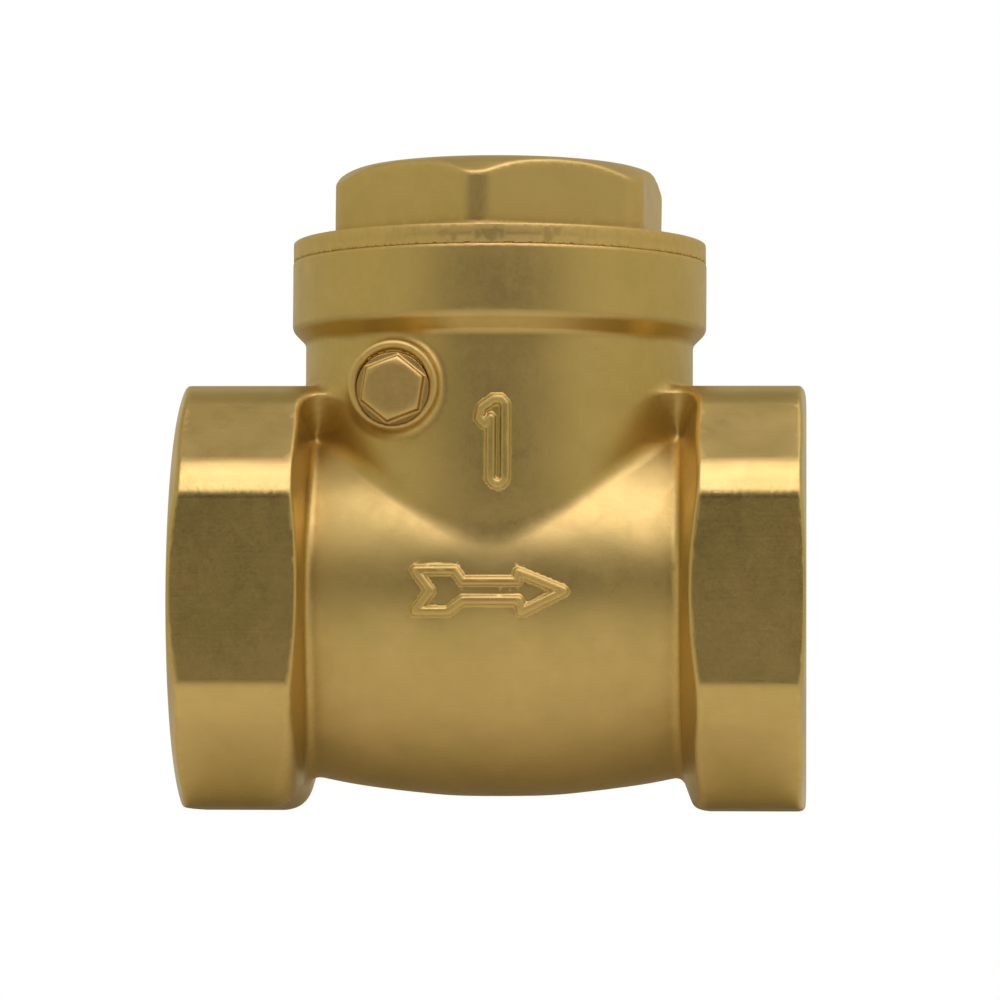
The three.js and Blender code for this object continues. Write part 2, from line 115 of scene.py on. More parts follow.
MAIN_FLAT_HALF = 9.4
DIAGONAL_FLAT = 22.47
BEVEL_TURN = math.radians(22.5)
INLET_SHOULDER = ((17.9, 17.8), (23.0, 19.1))
OUTLET_SHOULDER = ((17.9, 18.3), (23.0, 20.2))
FACE_RIM_R, CHAMFER_RIM_R = 20.65, 23.4
INLET_CHAMFER, OUTLET_CHAMFER = 1.2, 0.6
UNDER_SHIFT, UNDER_FILLET, UNDER_EDGE = 1.1, 0.6, 2.4
BARREL_R, BARREL_DEEPER = 19.5, 1.023
BARREL_CROWN_R, BARREL_HALF = 85, 24
NECK_R = 19.16
NECK_FILLET = ((0, 8, 15, 20), (0.2, 0.4, 1.0, 6.0))
MILLED_FLATS_FROM, MILLED_FACES_FROM = 17.5, 29.2
COLLAR_R = 20.7
COLLAR_CHAMFER = ((25.4, 19.2), (26.9, 20.7))
COLLAR_TOP = 33.80
CHAMBER_R = 15.75
SEAT_BORE_R = 11
SEAT_LAND_R = 13.6
SEAT_STEP = 1.0
INLET_THREAD_END = -18.2
OUTLET_THREAD_END = 17.8
PIPE_MINOR_R, PIPE_DEPTH, PIPE_PITCH = 15.15, 1.47, 2.309
PIPE_MOUTH_R = 17.0
COLLAR_MINOR_R, COLLAR_DEPTH, COLLAR_PITCH = 17.2, 0.8, 1.5
COLLAR_BORE_FOOT = 26.9
GASKET_SEAT_R, GASKET_SEAT = 19.65, 32.7
BOSS_R, BOSS_FACE, BOSS_RISE = 4.4, -19.1, 0.4
BOSS_BEAD_R, BOSS_BEAD = 3.93, 0.46
BOSS_RECESS_R, BOSS_RECESS = 3.54, -18.0
PLUG_MINOR_R, PLUG_DEPTH, PLUG_PITCH = 2.1, 0.4, 0.8
PLUG_HOLE_END = -13.4
PLUG_HALF, PLUG_CORNER_R = 2.8, 3.25
PLUG_RIM_R, PLUG_RIM_DROP = 2.7, 0.25
PLUG_TURN = math.radians(21)
PLUG_SEAT = -18.9
PLUG_FLANGE_R, PLUG_FLANGE = 3.56, -19.3
PIN_R, PIN_HOLE_R = 1.75, 1.95
PLUG_WASHER_INNER, PLUG_WASHER_OUTER = 2.55, 3.4

FLANGE_R = 20.65
FLANGE_FOOT, FLANGE_TOP = 33.7, 35.75
HEX_HALF, HEX_CORNER_R = 15.45, 17.3
HEX_TURN = math.radians(-95.5)
SKIRT_MINOR_R, SKIRT_THREAD_TOP = 16.95, 32.5
CAP_CONE = ((15.3, 42.85), (17.3, 41.1))
BONNET_HOLLOW = [(-39.3, 0), (-39.3, 10.6), (-38.5, 11.8), (-37, 11.8), (-34.9, 14.3), (0, 14.3)]
GASKET_INNER, GASKET_OUTER = 18.2, 19.35

ARM_HALF = ((0, 9, PIN_UP), (4.2, 4.8, 6.4))
HUB_R, HUB_HALF = 3.2, 7
EYE_R, EYE_FROM, EYE_TO = 6.2, 5.75, 8.7
CUP = [(1.2, 0), (1.2, 12.9), (3.4, 12.9), (4.3, 12.0), (5.2, 8.5), (5.5, 7.5), (5.5, 0)]
STEM_R, STEM_HOLE_R, STEM_FRONT, STEM_BACK = 2.4, 2.65, -4.6, 12.8
STEM_THREAD_DEPTH = 0.35
SEAT_DISC_R, SEAT_DISC_FROM, SEAT_DISC_TO = 12.2, 0.25, 3.2
IMPRINT_R = 0.35
NUT_HALF, NUT_HEIGHT, NUT_BEVEL = 4, 2.6, 0.45
SEAT_WASHER = (8.5, -0.85, 0.05)
HANGER_WASHER = (4.9, 8.9, 9.6)
SEAT_NUT_FROM, HANGER_NUT_FROM = -3.65, 9.8

# ------------------------------------------------------------------ distance fields
#
# A field gives the distance to a surface, negative inside. It takes coordinate arrays.


def blend(a, b, fillet):
    """Joins two fields with a fillet of about that radius."""
    width = 1.17 * fillet
    near = np.maximum(width - np.abs(a - b), 0) / np.maximum(width, 1e-6)
    return np.minimum(a, b) - near * near * width / 4


def common(a, b, edge=0.0):
    """What two fields share, with its edge rounded to about that radius."""
    return -blend(-a, -b, edge)


def cut(a, b, edge=0.0):
    return common(a, -b, edge)


def slope(along, across, start, end):
    """Distance to the line through two points; what lies to the left of its way is outside."""
    step = np.subtract(end, start) / math.dist(start, end)
    return (across - start[1]) * step[0] - (along - start[0]) * step[1]


def slab(value, low, high):
    return np.maximum(low - value, value - high)


def turned(along, radius, profile, edge):
    """A turned solid; its profile of (along, radius) is convex and runs from end to end."""
    sides = [slope(along, radius, start, end) for start, end in zip(profile, profile[1:])]
    field = sides[0]
    for side in sides[1:]:
        field = common(field, side, edge)
    return field


def rod(along, radius, size, low, high, chamfer):
    return turned(along, radius, [
        (low, 0), (low, size - chamfer), (low + chamfer, size),
        (high - chamfer, size), (high, size - chamfer), (high, 0),
    ], 0.1)


def washer(along, radius, inner, outer, low, high, edge):
    return common(common(inner - radius, radius - outer), slab(along, low, high), edge)


def thread(radius, along, angle, minor, depth, pitch, low, high):
    """A right hand thread, of a hole or of a screw; it fades out at both ends."""
    fade = np.clip((along - low) / pitch + 0.5, 0, 1) * np.clip((high - along) / pitch + 0.5, 0, 1)
    wave = 0.5 - 0.5 * np.cos(math.tau * (along / pitch - angle / math.tau))
    steepness = math.hypot(1, math.pi * depth / pitch)
    return (radius - minor - depth * wave * fade) / steepness


def hexagon(a, b, half, corner_angle):
    """A hexagonal prism by its half width across flats."""
    sides = [corner_angle + math.pi / 6 + i * math.pi / 3 for i in range(3)]
    return np.maximum.reduce([np.abs(a * math.cos(t) + b * math.sin(t)) for t in sides]) - half


def unevenness(x, y, z):
    """The faint waviness of a forged skin, in millimetres."""
    broad = np.sin(0.61 * x + 1.3) * np.sin(0.73 * y + 0.4) * np.sin(0.67 * z + 2.1)
    fine = np.sin(2.3 * x + 1.1 * z) * np.sin(2.9 * y + 0.7 * x) * np.sin(2.6 * z + 0.5 * y)
    return 0.045 * broad + 0.002 * fine


def bead(a, b, above, path):
    """A raised line along a closed path of (a, b) points, standing on the surface above = 0."""
    nearest = np.full_like(a, 1e3)
    for (a0, b0), (a1, b1) in zip(path, path[1:] + path[:1]):
        da, db = a1 - a0, b1 - b0
        share = np.clip(((a - a0) * da + (b - b0) * db) / (da * da + db * db), 0, 1)
        nearest = np.minimum(nearest, np.hypot(a - a0 - share * da, b - b0 - share * db))
    return common(nearest - BEAD_HALF, above - BEAD_HEIGHT, 0.35)


# ------------------------------------------------------------------ body

ARROW = [
    (-5.6, 0), (-7.1, -2), (-3.95, -2), (-2.5, -0.93), (3, -0.93), (3.2, -2.05),
    (7.3, 0), (2.9, 1.8), (2.8, 0.93), (-2.5, 0.93), (-3.25, 2), (-7.1, 2),
]
FIGURE = [
    (0.55, 10.4), (1.1, 10.4), (1.55, 10.85), (1.55, 18.2), (1.15, 18.65), (0.45, 18.65),
    (-0.8, 17.8), (-0.95, 16.75), (-0.45, 16.2), (0.15, 16.8), (0.12, 10.9),
]
BEAD_HALF, BEAD_HEIGHT = 0.47, 0.32


def burr(x, z):
    """How unevenly the upper edges of the front and back flats are milled."""
    wave = 0.015 * np.sin(4.3 * x) * np.sin(2.9 * x + 1) + 0.01 * np.sin(10.7 * x) * np.sin(1.7 * x + 2)
    return wave * np.clip(1.4 - np.abs(z - MAIN_FLAT_HALF - 0.3) / 0.4, 0, 1)


def octagon(x, y, z, skin):
    """The ends' section: four wide flats, a narrow bevel at each edge, and diagonal facets."""
    low, high = np.minimum(abs(y), abs(z)), np.maximum(abs(y), abs(z))
    across, along = math.cos(BEVEL_TURN), math.sin(BEVEL_TURN)
    reach = END_HALF * across + MAIN_FLAT_HALF * along
    bevel = high * across + low * along - reach + burr(x, z)
    diagonal = (high + low) / math.sqrt(2) - DIAGONAL_FLAT + 0.5 * skin
    return common(high - END_HALF, common(bevel, diagonal, 0.5), 0.2)


def port_blank(x, radius, face, chamfer_back, shoulder):
    """A forged end before its flats are milled: its face, chamfer and shoulder."""
    out = math.copysign(1, face) * x
    reach = abs(face)
    chamfer = slope(radius, out, (FACE_RIM_R, reach), (CHAMFER_RIM_R, reach - chamfer_back))
    return common(common(out - reach, chamfer, 0.3), -slope(radius, out, *shoulder))


def under_ends(x, z, flow_r):
    """Where the shoulders are set back and softer: 1 under the inlet's, 0.2 under the outlet's."""
    below = np.clip(-z / np.maximum(flow_r, 1), 0, 1) ** 4 * np.clip((25 - np.abs(x)) / 3, 0, 1)
    return below * np.clip(0.5 - x / 20, 0.2, 1)


def body_outside(x, y, z):
    skin = unevenness(x, y, z)
    flow_r, neck_r = np.hypot(y, z), np.hypot(x, y)
    barrel_r = np.hypot(y / BARREL_DEEPER, z)
    barrel = np.hypot(x, barrel_r + BARREL_CROWN_R - BARREL_R) - BARREL_CROWN_R + skin
    barrel = common(barrel, np.abs(x) - BARREL_HALF)
    neck = common(neck_r - NECK_R + skin, slab(z, 0, COLLAR_TOP - 2))
    inlet = port_blank(x, flow_r, INLET_X, INLET_CHAMFER, INLET_SHOULDER)
    outlet = port_blank(x, flow_r, OUTLET_X, OUTLET_CHAMFER, OUTLET_SHOULDER)

    below = under_ends(x, z, flow_r)
    ends = np.minimum(inlet, outlet) + UNDER_SHIFT * below
    blank = blend(barrel, ends, 0.7 + UNDER_FILLET * below)
    blank = blend(blank, neck, np.interp(z, *NECK_FILLET))
    milled = blend(octagon(x, y, z, skin), neck_r - NECK_R - 0.2, 0.8)
    outside = common(blank, milled, 0.35 + UNDER_EDGE * below)
    return add_collar_and_boss(outside, x, y, z, skin, barrel, neck)


def add_collar_and_boss(outside, x, y, z, skin, barrel, neck):
    neck_r = np.hypot(x, y)
    collar = common(slope(z, neck_r, *COLLAR_CHAMFER), neck_r - COLLAR_R + 0.3 * skin, 0.3)
    collar = common(collar, slab(z, COLLAR_CHAMFER[0][0] - 1, COLLAR_TOP), 0.35)
    boss_r = np.hypot(x - PIN.x, z - PIN.z - BOSS_RISE)
    boss = common(boss_r - BOSS_R, slab(y, BOSS_FACE, -9), 0.3)
    ring = np.hypot(boss_r - BOSS_BEAD_R, y - BOSS_FACE) - BOSS_BEAD
    outside = blend(outside, collar, 0.25)
    outside = blend(outside, np.minimum(boss, ring), 0.9)
    marks = bead(x, z, np.where(np.abs(z) < 8, barrel, 9), ARROW)
    figure = bead(x, z, np.where(y < 0, neck, 9), FIGURE)
    return blend(outside, np.minimum(marks, figure), 0.15)


def port_hole(x, y, z, face, end):
    way = math.copysign(1, face)
    flow_r, angle = np.hypot(y, z), np.arctan2(z, y)
    low, high = (face - 2, end) if face < end else (end, face + 2)
    hole = thread(flow_r, x, angle, PIPE_MINOR_R, PIPE_DEPTH, PIPE_PITCH, low, high)
    chamfer = (flow_r - PIPE_MOUTH_R + way * (face - x)) / math.sqrt(2)
    return np.minimum(common(hole, slab(x, low, high), 0.45), chamfer)


def chamber(x, y, z):
    """The chamber and the neck bore, cut off at the sloping seat wall with its raised land."""
    flow_r, neck_r = np.hypot(y, z), np.hypot(x, y)
    out = (x - SEAT.x) * SEAT_OUT.x + (z - SEAT.z) * SEAT_OUT.z
    up = (x - SEAT.x) * SEAT_UP.x + (z - SEAT.z) * SEAT_UP.z
    room = common(flow_r - CHAMBER_R, slab(x, INLET_THREAD_END, OUTLET_THREAD_END + 0.5))
    neck_bore = common(neck_r - CHAMBER_R, slab(z, 0, COLLAR_TOP + 5))
    room = common(blend(room, neck_bore, 1.0), -SEAT_STEP - out, 0.5)
    return cut(room, common(np.hypot(y, up) - SEAT_LAND_R, out, 0.15), 0.2)


def collar_bore(x, y, z):
    radius = np.hypot(x, y)
    screw = thread(
        radius, z, np.arctan2(y, x), COLLAR_MINOR_R, COLLAR_DEPTH, COLLAR_PITCH,
        COLLAR_BORE_FOOT, COLLAR_TOP + 2,
    )
    screw = common(screw, slab(z, COLLAR_BORE_FOOT, COLLAR_TOP + 5), 0.2)
    seat = common(radius - GASKET_SEAT_R, slab(z, GASKET_SEAT, COLLAR_TOP + 5), 0.15)
    return np.minimum(screw, seat)


def pin_axes(x, z):
    """The distance from the pin's axis, and the angle round it."""
    return np.hypot(x - PIN.x, z - PIN.z), np.arctan2(x - PIN.x, z - PIN.z)


def pin_holes(x, y, z):
    radius, angle = pin_axes(x, z)
    recess = common(radius - BOSS_RECESS_R, slab(y, BOSS_FACE - 9, BOSS_RECESS), 0.05)
    tapped = thread(
        radius, y, angle, PLUG_MINOR_R, PLUG_DEPTH, PLUG_PITCH, BOSS_RECESS - 1, PLUG_HOLE_END
    )
    tapped = common(tapped, slab(y, BOSS_FACE, PLUG_HOLE_END))
    plain = common(radius - PIN_HOLE_R, slab(y, PLUG_HOLE_END - 1, PIN_BACK + 0.3))
    return np.minimum(recess, np.minimum(tapped, plain))


def body_hollow(x, y, z):
    ports = np.minimum(
        port_hole(x, y, z, INLET_X, INLET_THREAD_END),
        port_hole(x, y, z, OUTLET_X, OUTLET_THREAD_END),
    )
    seat_bore = common(np.hypot(y, z) - SEAT_BORE_R, slab(x, INLET_THREAD_END - 1, 2))
    hollow = blend(np.minimum(ports, seat_bore), chamber(x, y, z), 0.2)
    return np.minimum(np.minimum(hollow, collar_bore(x, y, z)), pin_holes(x, y, z))


def body_field(x, y, z):
    return cut(body_outside(x, y, z), body_hollow(x, y, z), 0.15)


def body_milled(x, y, z):
    """1 on the cut faces of the two ends and in the bores, 0 on the forged skin."""
    bore = np.clip(1.5 - np.abs(body_hollow(x, y, z)) / 0.1, 0, 1)
    flats = np.clip(1.5 - np.abs(octagon(x, y, z, 0)) / 0.2, 0, 1)
    flats = np.where(np.abs(x) > MILLED_FLATS_FROM, flats, 0)
    faces = np.clip(np.abs(x) - MILLED_FACES_FROM, 0, 1)
    return np.maximum(np.maximum(bore, flats), faces)


# ------------------------------------------------------------------ bonnet, pin and plug


def bonnet_field(x, y, z):
    radius, angle = np.hypot(x, y), np.arctan2(y, x)
    skin = 0.4 * unevenness(x, y, z)
    flange = common(radius - FLANGE_R + skin, FLANGE_FOOT - z)
    flange = common(flange, z - FLANGE_TOP, 0.25)
    sides = common(hexagon(x, y, HEX_HALF, HEX_TURN) + skin, radius - HEX_CORNER_R + skin, 0.3)
    crown = common(slope(radius, z, *CAP_CONE) + skin, z - BONNET_TOP, 0.9)
    head = common(common(sides, crown, 0.2), FLANGE_FOOT - z)
    screw = thread(
        radius, z, angle, SKIRT_MINOR_R, COLLAR_DEPTH, COLLAR_PITCH, BONNET_FOOT + 1, SKIRT_THREAD_TOP
    )
    lead = (radius - SKIRT_MINOR_R - 0.4 - (z - BONNET_FOOT)) / math.sqrt(2)
    skirt = common(common(screw, lead, 0.1), slab(z, BONNET_FOOT, FLANGE_TOP), 0.15)
    outside = blend(blend(flange, head, 0.5), skirt, 0.3)
    return cut(outside, turned(-z, radius, BONNET_HOLLOW, 0.6), 0.3)


def gasket_field(x, y, z):
    return washer(z, np.hypot(x, y), GASKET_INNER, GASKET_OUTER, GASKET_LOW, GASKET_HIGH, 0.15)


def pin_field(x, y, z):
    return rod(y, pin_axes(x, z)[0], PIN_R, PIN_FRONT, PIN_BACK, 0.35)


def plug_field(x, y, z):
    radius, angle = pin_axes(x, z)
    sides = hexagon(x - PIN.x, z - PIN.z, PLUG_HALF, PLUG_TURN)
    cap = slope(radius, -y, (PLUG_RIM_R, -PLUG_FACE), (PLUG_CORNER_R, -PLUG_FACE - PLUG_RIM_DROP))
    head = common(common(sides, slab(y, PLUG_FACE, PLUG_SEAT), 0.25), cap, 0.25)
    flange = common(radius - PLUG_FLANGE_R, slab(y, PLUG_FLANGE, PLUG_SEAT), 0.05)
    head = blend(head, flange, 0.3)
    screw = thread(
        radius, y, angle, PLUG_MINOR_R - 0.15, PLUG_DEPTH, PLUG_PITCH, PLUG_SEAT + 0.9, PLUG_END - 0.3
    )
    lead = (radius - PLUG_MINOR_R + y - PLUG_END) / math.sqrt(2)
    shank = common(common(screw, lead, 0.1), slab(y, PLUG_SEAT - 0.5, PLUG_END), 0.1)
    return blend(head, shank, 0.15)


def plug_washer_field(x, y, z):
    radius = pin_axes(x, z)[0]
    return washer(y, radius, PLUG_WASHER_INNER, PLUG_WASHER_OUTER, WASHER_LOW, WASHER_HIGH, 0.2)


# ------------------------------------------------------------------ clapper, in its own axes


def hanger_field(out, y, up):
    arm = common(np.abs(y) - np.interp(up, *ARM_HALF), slab(out, EYE_FROM, EYE_TO), 0.6)
    arm = common(arm, slab(up, 0, PIN_UP))
    eye = common(np.hypot(y, up) - EYE_R, slab(out, EYE_FROM, EYE_TO), 0.6)
    hub_r = np.hypot(out - PIN_OUT, up - PIN_UP)
    hub = common(hub_r - HUB_R, np.abs(y) - HUB_HALF, 0.5)
    outside = blend(blend(arm, eye, 1.2), hub, 1.5) + 0.5 * unevenness(out, y, up)
    outside = common(outside, out - EYE_TO)
    holes = np.minimum(hub_r - PIN_HOLE_R, np.hypot(y, up) - STEM_HOLE_R)
    return cut(outside, holes, 0.3)


def holder_field(out, y, up):
    radius, angle = np.hypot(y, up), np.arctan2(up, y)
    pocket = common(radius - SEAT_DISC_R - 0.3, slab(out, 0, SEAT_DISC_TO + 0.25))
    cup = cut(turned(out, radius, CUP, 0.25), pocket, 0.15)
    stem = rod(out, radius, STEM_R, STEM_FRONT, STEM_BACK, 0.3)
    for low, high in ((STEM_FRONT, -0.9), (EYE_TO + 0.6, STEM_BACK)):
        minor = STEM_R - STEM_THREAD_DEPTH
        groove = thread(radius, out, angle, minor, STEM_THREAD_DEPTH, PLUG_PITCH, low - 1, high + 1)
        stem = np.maximum(stem, np.where(slab(out, low, high) < 0, groove, -1))
    return blend(cup, stem, 0.3)


def seat_disc_field(out, y, up):
    radius = np.hypot(y, up)
    ring = washer(out, radius, STEM_HOLE_R, SEAT_DISC_R, SEAT_DISC_FROM, SEAT_DISC_TO, 0.3)
    imprint = np.hypot(radius - SEAT_BORE_R, out - SEAT_DISC_FROM + 0.25) - IMPRINT_R
    return cut(ring, imprint, 0.1)


def stack_washer(size, low, high):
    return lambda out, y, up: washer(out, np.hypot(y, up), STEM_HOLE_R, size, low, high, 0.12)


def stack_nut(low):
    """The field of a nut of the clapper's stack that starts there."""
    high = low + NUT_HEIGHT
    corner_r = NUT_HALF / math.cos(math.pi / 6)

    def field(out, y, up):
        radius = np.hypot(y, up)
        nut = common(hexagon(y, up, NUT_HALF, 0), slab(out, low, high), 0.1)
        for along, end in ((-out, -low), (out, high)):
            bevel = slope(radius, along, (NUT_HALF - 0.2, end), (corner_r, end - NUT_BEVEL))
            nut = common(nut, bevel, 0.1)
        mouth = (radius - STEM_HOLE_R - 0.3 - slab(out, low, high)) / math.sqrt(2)
        return cut(nut, np.minimum(radius - STEM_HOLE_R, mouth), 0.08)

    return field


# ------------------------------------------------------------------ materials

# Darker, warmer brass in corners and creases: painted shade.
PAINTED_CORNER_SHADE = (0.62, 0.55, 0.45)
STROKE_DEPTH, RING_DEPTH, SPECK_DEPTH = 0.0025, 0.006, 0.004
ALONG_FLOW, ALL_ROUND, ALONG_HEIGHT = (30, 1, 1), (30, 30, 1), (1, 1, 6)


class Recipe:
    """The nodes of a material, or of the world, under construction. Lengths are in millimetres."""

    def __init__(self, owner, place="Object"):
        self.owner = owner
        owner.use_nodes = True
        self.tree = owner.node_tree
        self.tree.nodes.clear()
        self.place = self.node("ShaderNodeTexCoord").outputs[place]

    def node(self, kind, inputs=(), **settings):
        made = self.tree.nodes.new(kind)
        for key, value in settings.items():
            setattr(made, key, value)
        for key, value in dict(inputs).items():
            if isinstance(value, bpy.types.NodeSocket):
                self.tree.links.new(value, made.inputs[key])
            else:
                made.inputs[key].default_value = value
        return made

    def mask(self, name):
        return self.node("ShaderNodeAttribute", attribute_name=name).outputs["Fac"]

    def noise(self, size, detail=2.0, stretch=(1, 1, 1), distortion=0.0):
        """Noise with features of that size; stretch is how much longer they are each way."""
        scale = [1 / (size * MM * way) for way in stretch]
        place = self.node("ShaderNodeMapping", {"Vector": self.place, "Scale": scale}).outputs[0]
        return self.node("ShaderNodeTexNoise", {
            "Vector": place, "Scale": 1.0, "Detail": detail, "Distortion": distortion,
        }).outputs["Fac"]

    def span(self, value, low, high, out_low=0.0, out_high=1.0):
        return self.node("ShaderNodeMapRange", {
            "Value": value, "From Min": low, "From Max": high, "To Min": out_low, "To Max": out_high,
        }).outputs["Result"]

    def math(self, operation, a, b):
        return self.node("ShaderNodeMath", {0: a, 1: b}, operation=operation).outputs[0]

    def mix(self, share, a, b):
        made = self.node("ShaderNodeMix", {"Factor": share}, data_type="RGBA")
        for socket, value in zip([i for i in made.inputs if i.type == "RGBA"], (a, b)):
            if isinstance(value, bpy.types.NodeSocket):
                self.tree.links.new(value, socket)
            else:
                socket.default_value = (*value, 1)
        return next(o for o in made.outputs if o.type == "RGBA")

    def bump(self, height, depth, normal=None):
        inputs = {"Height": height, "Distance": depth * MM, "Strength": 1.0}
        if normal:
            inputs["Normal"] = normal
        return self.node("ShaderNodeBump", inputs).outputs["Normal"]

    def finish(self, **inputs):
        named = {key.replace("_", " "): value for key, value in inputs.items()}
        shader = self.node("ShaderNodeBsdfPrincipled", named)
        self.node("ShaderNodeOutputMaterial", {"Surface": shader.outputs[0]})
        return self.owner


def shade(color, amount):
    """A colour made darker or brighter."""
    return [min(amount * c, 0.95) for c in color]


def brass(name, olive, warm, rough, grain_depth, brush=(1, 1, 30)):
    """Blasted forging brass with brushed, smoother metal where it is milled."""
    m = Recipe(bpy.data.materials.new(name))
    edge, hollow, milled = m.mask("edge"), m.mask("hollow"), m.mask("milled")
    grain = m.noise(0.22, 3.0)
    pits = m.math("MAXIMUM", m.span(m.noise(0.4, 3.0), 0.24, 0.34), milled)
    patches = m.noise(7.0, 3.0, distortion=0.5)
    stain = m.span(m.noise(2.2, 4.0, distortion=1.0), 0.35, 0.7)
    strokes = m.noise(0.25, 1.0, brush)
    worn = m.math("MULTIPLY", edge, m.span(m.noise(0.6, 3.0), 0.35, 0.65))

    color = m.mix(m.span(patches, 0.3, 0.7), olive, warm)
    color = m.mix(m.span(stain, 0, 1, 0.0, 0.08), color, shade(olive, 0.55))
    color = m.mix(m.span(pits, 0, 1, 0.12, 0.0), color, shade(olive, 0.35))
    color = m.mix(m.span(strokes, 0.2, 0.8, 0.0, 0.08), color, shade(olive, 0.6))
    # Painted shade: darker, warmer colour in corners, creases and hollows.
    color = m.mix(m.span(hollow, 0, 1, 0.0, 0.35), color, [a * b for a, b in zip(PAINTED_CORNER_SHADE, warm)])
    # Lighter on convex edges: a painted highlight, and partly worn, burnished brass.
    color = m.mix(m.span(edge, 0, 1, 0.0, 0.35), color, shade(olive, 1.25))
    color = m.mix(m.span(worn, 0, 1, 0.0, 0.25), color, shade(warm, 1.3))

    roughness = m.span(grain, 0.3, 0.7, rough - 0.02, rough + 0.03)
    roughness = m.math("ADD", roughness, m.span(stain, 0, 1, -0.01, 0.03))
    roughness = m.math("ADD", roughness, m.span(milled, 0, 1, 0.0, -0.09))
    roughness = m.math("ADD", roughness, m.span(edge, 0, 1, 0.0, 0.12))

    blast = m.math("MULTIPLY", grain, m.span(milled, 0, 1, 1.0, 0.25))
    normal = m.bump(blast, grain_depth)
    normal = m.bump(pits, 0.2 * grain_depth, normal)
    brushed = m.math("MULTIPLY", strokes, m.span(milled, 0, 1, 0.2, 1.0))
    normal = m.bump(brushed, STROKE_DEPTH, normal)
    return m.finish(Base_Color=color, Metallic=1.0, Roughness=roughness, Normal=normal)


def turned_metal(name, light, dark, rough):
    """Machined metal with faint tool marks and a little tarnish."""
    m = Recipe(bpy.data.materials.new(name))
    edge, hollow = m.mask("edge"), m.mask("hollow")
    tarnish = m.span(m.noise(2.5, 4.0, distortion=0.6), 0.3, 0.75)
    marks = m.noise(0.1, 2.0, (1, 12, 12))
    speck = m.span(m.noise(0.35, 3.0), 0.32, 0.42)
    color = m.mix(tarnish, light, dark)
    # Painted shade in hollows and a painted highlight on convex edges.
    color = m.mix(m.span(hollow, 0, 1, 0.0, 0.4), color, shade(dark, 0.5))
    color = m.mix(m.span(edge, 0, 1, 0.0, 0.4), color, shade(light, 1.2))
    roughness = m.span(tarnish, 0, 1, rough - 0.05, rough + 0.1)
    roughness = m.math("ADD", roughness, m.span(speck, 0, 1, 0.1, 0.0))
    normal = m.bump(marks, RING_DEPTH)
    normal = m.bump(speck, SPECK_DEPTH, normal)
    return m.finish(Base_Color=color, Metallic=1.0, Roughness=roughness, Normal=normal)


def soft(name, light, dark, rough, grain, depth):
    """Rubber or PTFE: a dielectric with a moulded grain, dust and scuffs."""
    m = Recipe(bpy.data.materials.new(name))
    cloud = m.span(m.noise(3.0, 4.0, distortion=0.4), 0.3, 0.7)
    fine = m.noise(grain, 3.0)
    scuff = m.span(m.noise(0.3, 3.0, (1, 8, 1)), 0.58, 0.72)
    color = m.mix(cloud, light, dark)
    color = m.mix(m.span(scuff, 0, 1, 0.0, 0.25), color, [min(2.2 * c + 0.02, 0.9) for c in light])
    roughness = m.span(fine, 0.3, 0.7, rough - 0.07, rough + 0.07)
    roughness = m.math("ADD", roughness, m.span(scuff, 0, 1, 0, 0.08))
    return m.finish(Base_Color=color, Roughness=roughness, Normal=m.bump(fine, depth))


# For each material: its kind, two colours, its roughness, and what else that kind takes.
MATERIALS = {name: kind(name, *look) for name, kind, *look in (
    ("forged_brass", brass, (0.58, 0.425, 0.125), (0.65, 0.46, 0.145), 0.39, 0.004, ALONG_FLOW),
    ("bonnet_brass", brass, (0.59, 0.43, 0.13), (0.65, 0.46, 0.148), 0.50, 0.004, ALL_ROUND),
    ("plug_brass", brass, (0.56, 0.39, 0.115), (0.62, 0.42, 0.13), 0.40, 0.008, ALONG_HEIGHT),
    ("inner_brass", brass, (0.62, 0.45, 0.15), (0.72, 0.50, 0.18), 0.36, 0.012),
    ("stainless_steel", turned_metal, (0.62, 0.61, 0.59), (0.50, 0.49, 0.47), 0.26),
    ("copper", turned_metal, (0.76, 0.36, 0.22), (0.50, 0.20, 0.11), 0.36),
    ("seat_rubber", soft, (0.016, 0.016, 0.018), (0.026, 0.026, 0.028), 0.62, 0.12, 0.012),
    ("ptfe", soft, (0.80, 0.79, 0.75), (0.72, 0.71, 0.67), 0.42, 0.2, 0.008),
)}

# ------------------------------------------------------------------ from field to mesh

BLOCK = 4
CHUNK = 60000
CORNERS = list(product((0, 1), repeat=3))
EDGES = [(a, b) for a in CORNERS for b in CORNERS if a < b and math.dist(a, b) == 1]
LARGE_FACE, INWARD, FAINTER = 0.13, 0.6, 0.2
TETRA = np.array([(1, 1, 1), (1, -1, -1), (-1, 1, -1), (-1, -1, 1)]) / math.sqrt(3)


def in_chunks(field, points):
    """The field at many points, a part at a time so that it stays quick."""
    found = np.empty(len(points), np.float32)
    for i in range(0, len(points), CHUNK):
        x, y, z = points[i:i + CHUNK].T
        found[i:i + CHUNK] = field(x, y, z)
    return found


def sampled(field, low, cell, blocks):
    """The field on a grid, worked out only in the blocks that the surface can pass through."""
    centres = [low[i] + (np.arange(blocks[i]) + 0.5) * BLOCK * cell for i in range(3)]
    centres = np.stack(np.meshgrid(*centres, indexing="ij"), -1).reshape(-1, 3)
    coarse = in_chunks(field, centres).reshape(blocks)
    reach = BLOCK * cell * 0.5 * math.sqrt(3) + cell
    fine = coarse
    for axis in range(3):
        fine = np.repeat(fine, BLOCK, axis)
    fine = np.pad(fine, [(0, 1)] * 3, mode="edge")
    near = np.zeros(fine.shape, bool)
    cells = np.abs(fine[:-1, :-1, :-1]) < reach
    for i, j, k in CORNERS:
        near[i:i + cells.shape[0], j:j + cells.shape[1], k:k + cells.shape[2]] |= cells
    index = np.argwhere(near)
    fine[near] = in_chunks(field, index * cell + low)
    return fine


